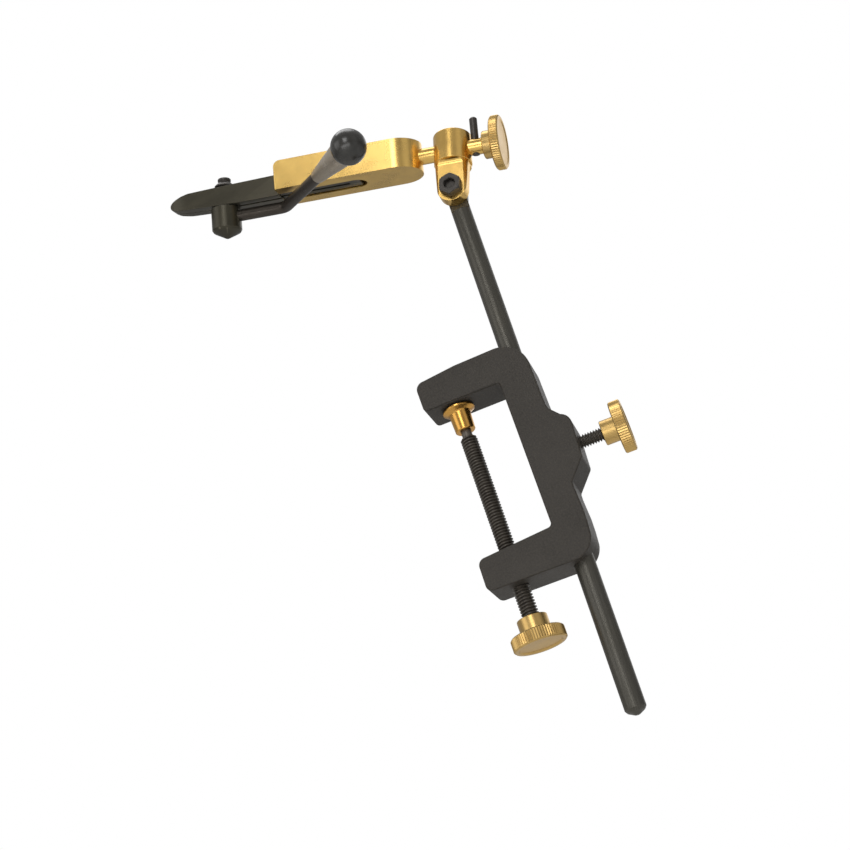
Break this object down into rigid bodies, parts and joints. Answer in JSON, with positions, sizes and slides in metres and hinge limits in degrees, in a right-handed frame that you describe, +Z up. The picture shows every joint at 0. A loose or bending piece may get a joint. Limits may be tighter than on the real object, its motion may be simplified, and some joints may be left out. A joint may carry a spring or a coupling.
{
  "type": "fly tying vise",
  "caption": "C-clamp fly tying vise: sliding stem, tilting brass knuckle and a rotary head whose slim spring jaws are opened by a cam lever with a ball end.",
  "frame": {"origin": "flat underside of the clamp's upper arm, on the clamp screw's axis", "axes": "+Z up along the stem, -X from the stem towards the jaws and the open side of the clamp, +Y towards the back"},
  "size_m": [0.1813, 0.0797, 0.3291],
  "materials": {
    "cast_black": "matte black powder coat on a casting",
    "black_rod": "smooth semi-gloss black on ground steel",
    "black_steel": "black oxide steel fasteners",
    "jaw_steel": "dark satin tool steel",
    "thread_steel": "black oxide thread, oily",
    "gunmetal": "satin gunmetal with a purple tint",
    "ball_black": "glossy black ball",
    "polished_brass": "polished brass",
    "satin_brass": "turned brass with straight knurling",
    "nylon": "natural nylon"
  },
  "bodies": {
    "clamp": {"clamp_frame": "cast_black"},
    "stem_group": {"stem": "black_rod"},
    "knuckle_group": {"knuckle": "polished_brass", "pivot_bolt": "black_steel", "pivot_nut": "black_steel", "tension_screw": "black_steel", "tension_plug": "nylon"},
    "rotary_head": {"rotary_shaft": "polished_brass", "yoke": "polished_brass", "rear_knob": "satin_brass", "turning_peg": "black_steel", "jaw_pins": "satin_brass"},
    "cam_lever": {"cam_stud": "black_steel", "stud_cap": "black_steel", "cam_boss": "jaw_steel", "lever_rod": "gunmetal", "lever_grip": "gunmetal", "lever_ball": "ball_black"},
    "front_jaw": {"jaw_front": "jaw_steel"},
    "rear_jaw": {"jaw_rear": "jaw_steel"},
    "pad_group": {"clamp_pad": "polished_brass", "pad_retainer": "black_steel"},
    "clamp_screw_group": {"clamp_screw": "thread_steel", "clamp_knob": "satin_brass"},
    "shoe_group": {"lock_shoe": "polished_brass"},
    "lock_screw_group": {"lock_screw": "thread_steel", "lock_knob": "satin_brass"}
  },
  "joints": [
    {"name": "stem_height", "type": "slide", "parent": "clamp", "child": "stem_group", "axis": [0, 0, 1], "range_m": [-0.03, 0.055]},
    {"name": "head_tilt", "type": "hinge", "parent": "stem_group", "child": "knuckle_group", "pos_m": [0.0317, 0, 0.1078], "axis": [0, 1, 0], "range_deg": [-30, 45]},
    {"name": "head_turn", "type": "hinge", "parent": "knuckle_group", "child": "rotary_head", "pos_m": [0.03755, 0, 0.13025], "axis": [0.9677, 0, -0.2521], "continuous": true},
    {"name": "lever_squeeze", "type": "hinge", "parent": "rotary_head", "child": "cam_lever", "pos_m": [-0.0808, 0, 0.16108], "axis": [0.2482, -0.1736, 0.953], "range_deg": [0, 22], "stiffness_Nm_per_rad": 0.45, "springref_deg": -11.46},
    {"name": "front_jaw_flex", "type": "hinge", "parent": "rotary_head", "child": "front_jaw", "pos_m": [-0.01277, 0, 0.14336], "axis": [0.2482, -0.1736, 0.953], "range_deg": [0, 0.62]},
    {"name": "rear_jaw_flex", "type": "hinge", "parent": "rotary_head", "child": "rear_jaw", "pos_m": [-0.01277, 0, 0.14336], "axis": [0.2482, -0.1736, 0.953], "range_deg": [-0.62, 0]},
    {"name": "pad_travel", "type": "slide", "parent": "clamp", "child": "pad_group", "axis": [-0.0201, 0, 0.9998], "range_m": [-0.054, 0]},
    {"name": "clamp_screw_turn", "type": "hinge", "parent": "pad_group", "child": "clamp_screw_group", "pos_m": [0.00201, 0, -0.09998], "axis": [-0.0201, 0, 0.9998], "range_deg": [-13795, 0]},
    {"name": "shoe_travel", "type": "slide", "parent": "clamp", "child": "shoe_group", "axis": [1, 0, 0], "range_m": [0, 0.00254]},
    {"name": "lock_screw_turn", "type": "hinge", "parent": "shoe_group", "child": "lock_screw_group", "pos_m": [0.06, 0, -0.0376], "axis": [1, 0, 0], "range_deg": [0, 722]}
  ],
  "couplings": [
    {"joint": "front_jaw_flex", "follows": "lever_squeeze", "ratio": 0.02727},
    {"joint": "rear_jaw_flex", "follows": "lever_squeeze", "ratio": -0.02727},
    {"joint": "clamp_screw_turn", "follows": "pad_travel", "rad_per_m": 4456.2},
    {"joint": "lock_screw_turn", "follows": "shoe_travel", "rad_per_m": 4947.4}
  ]
}
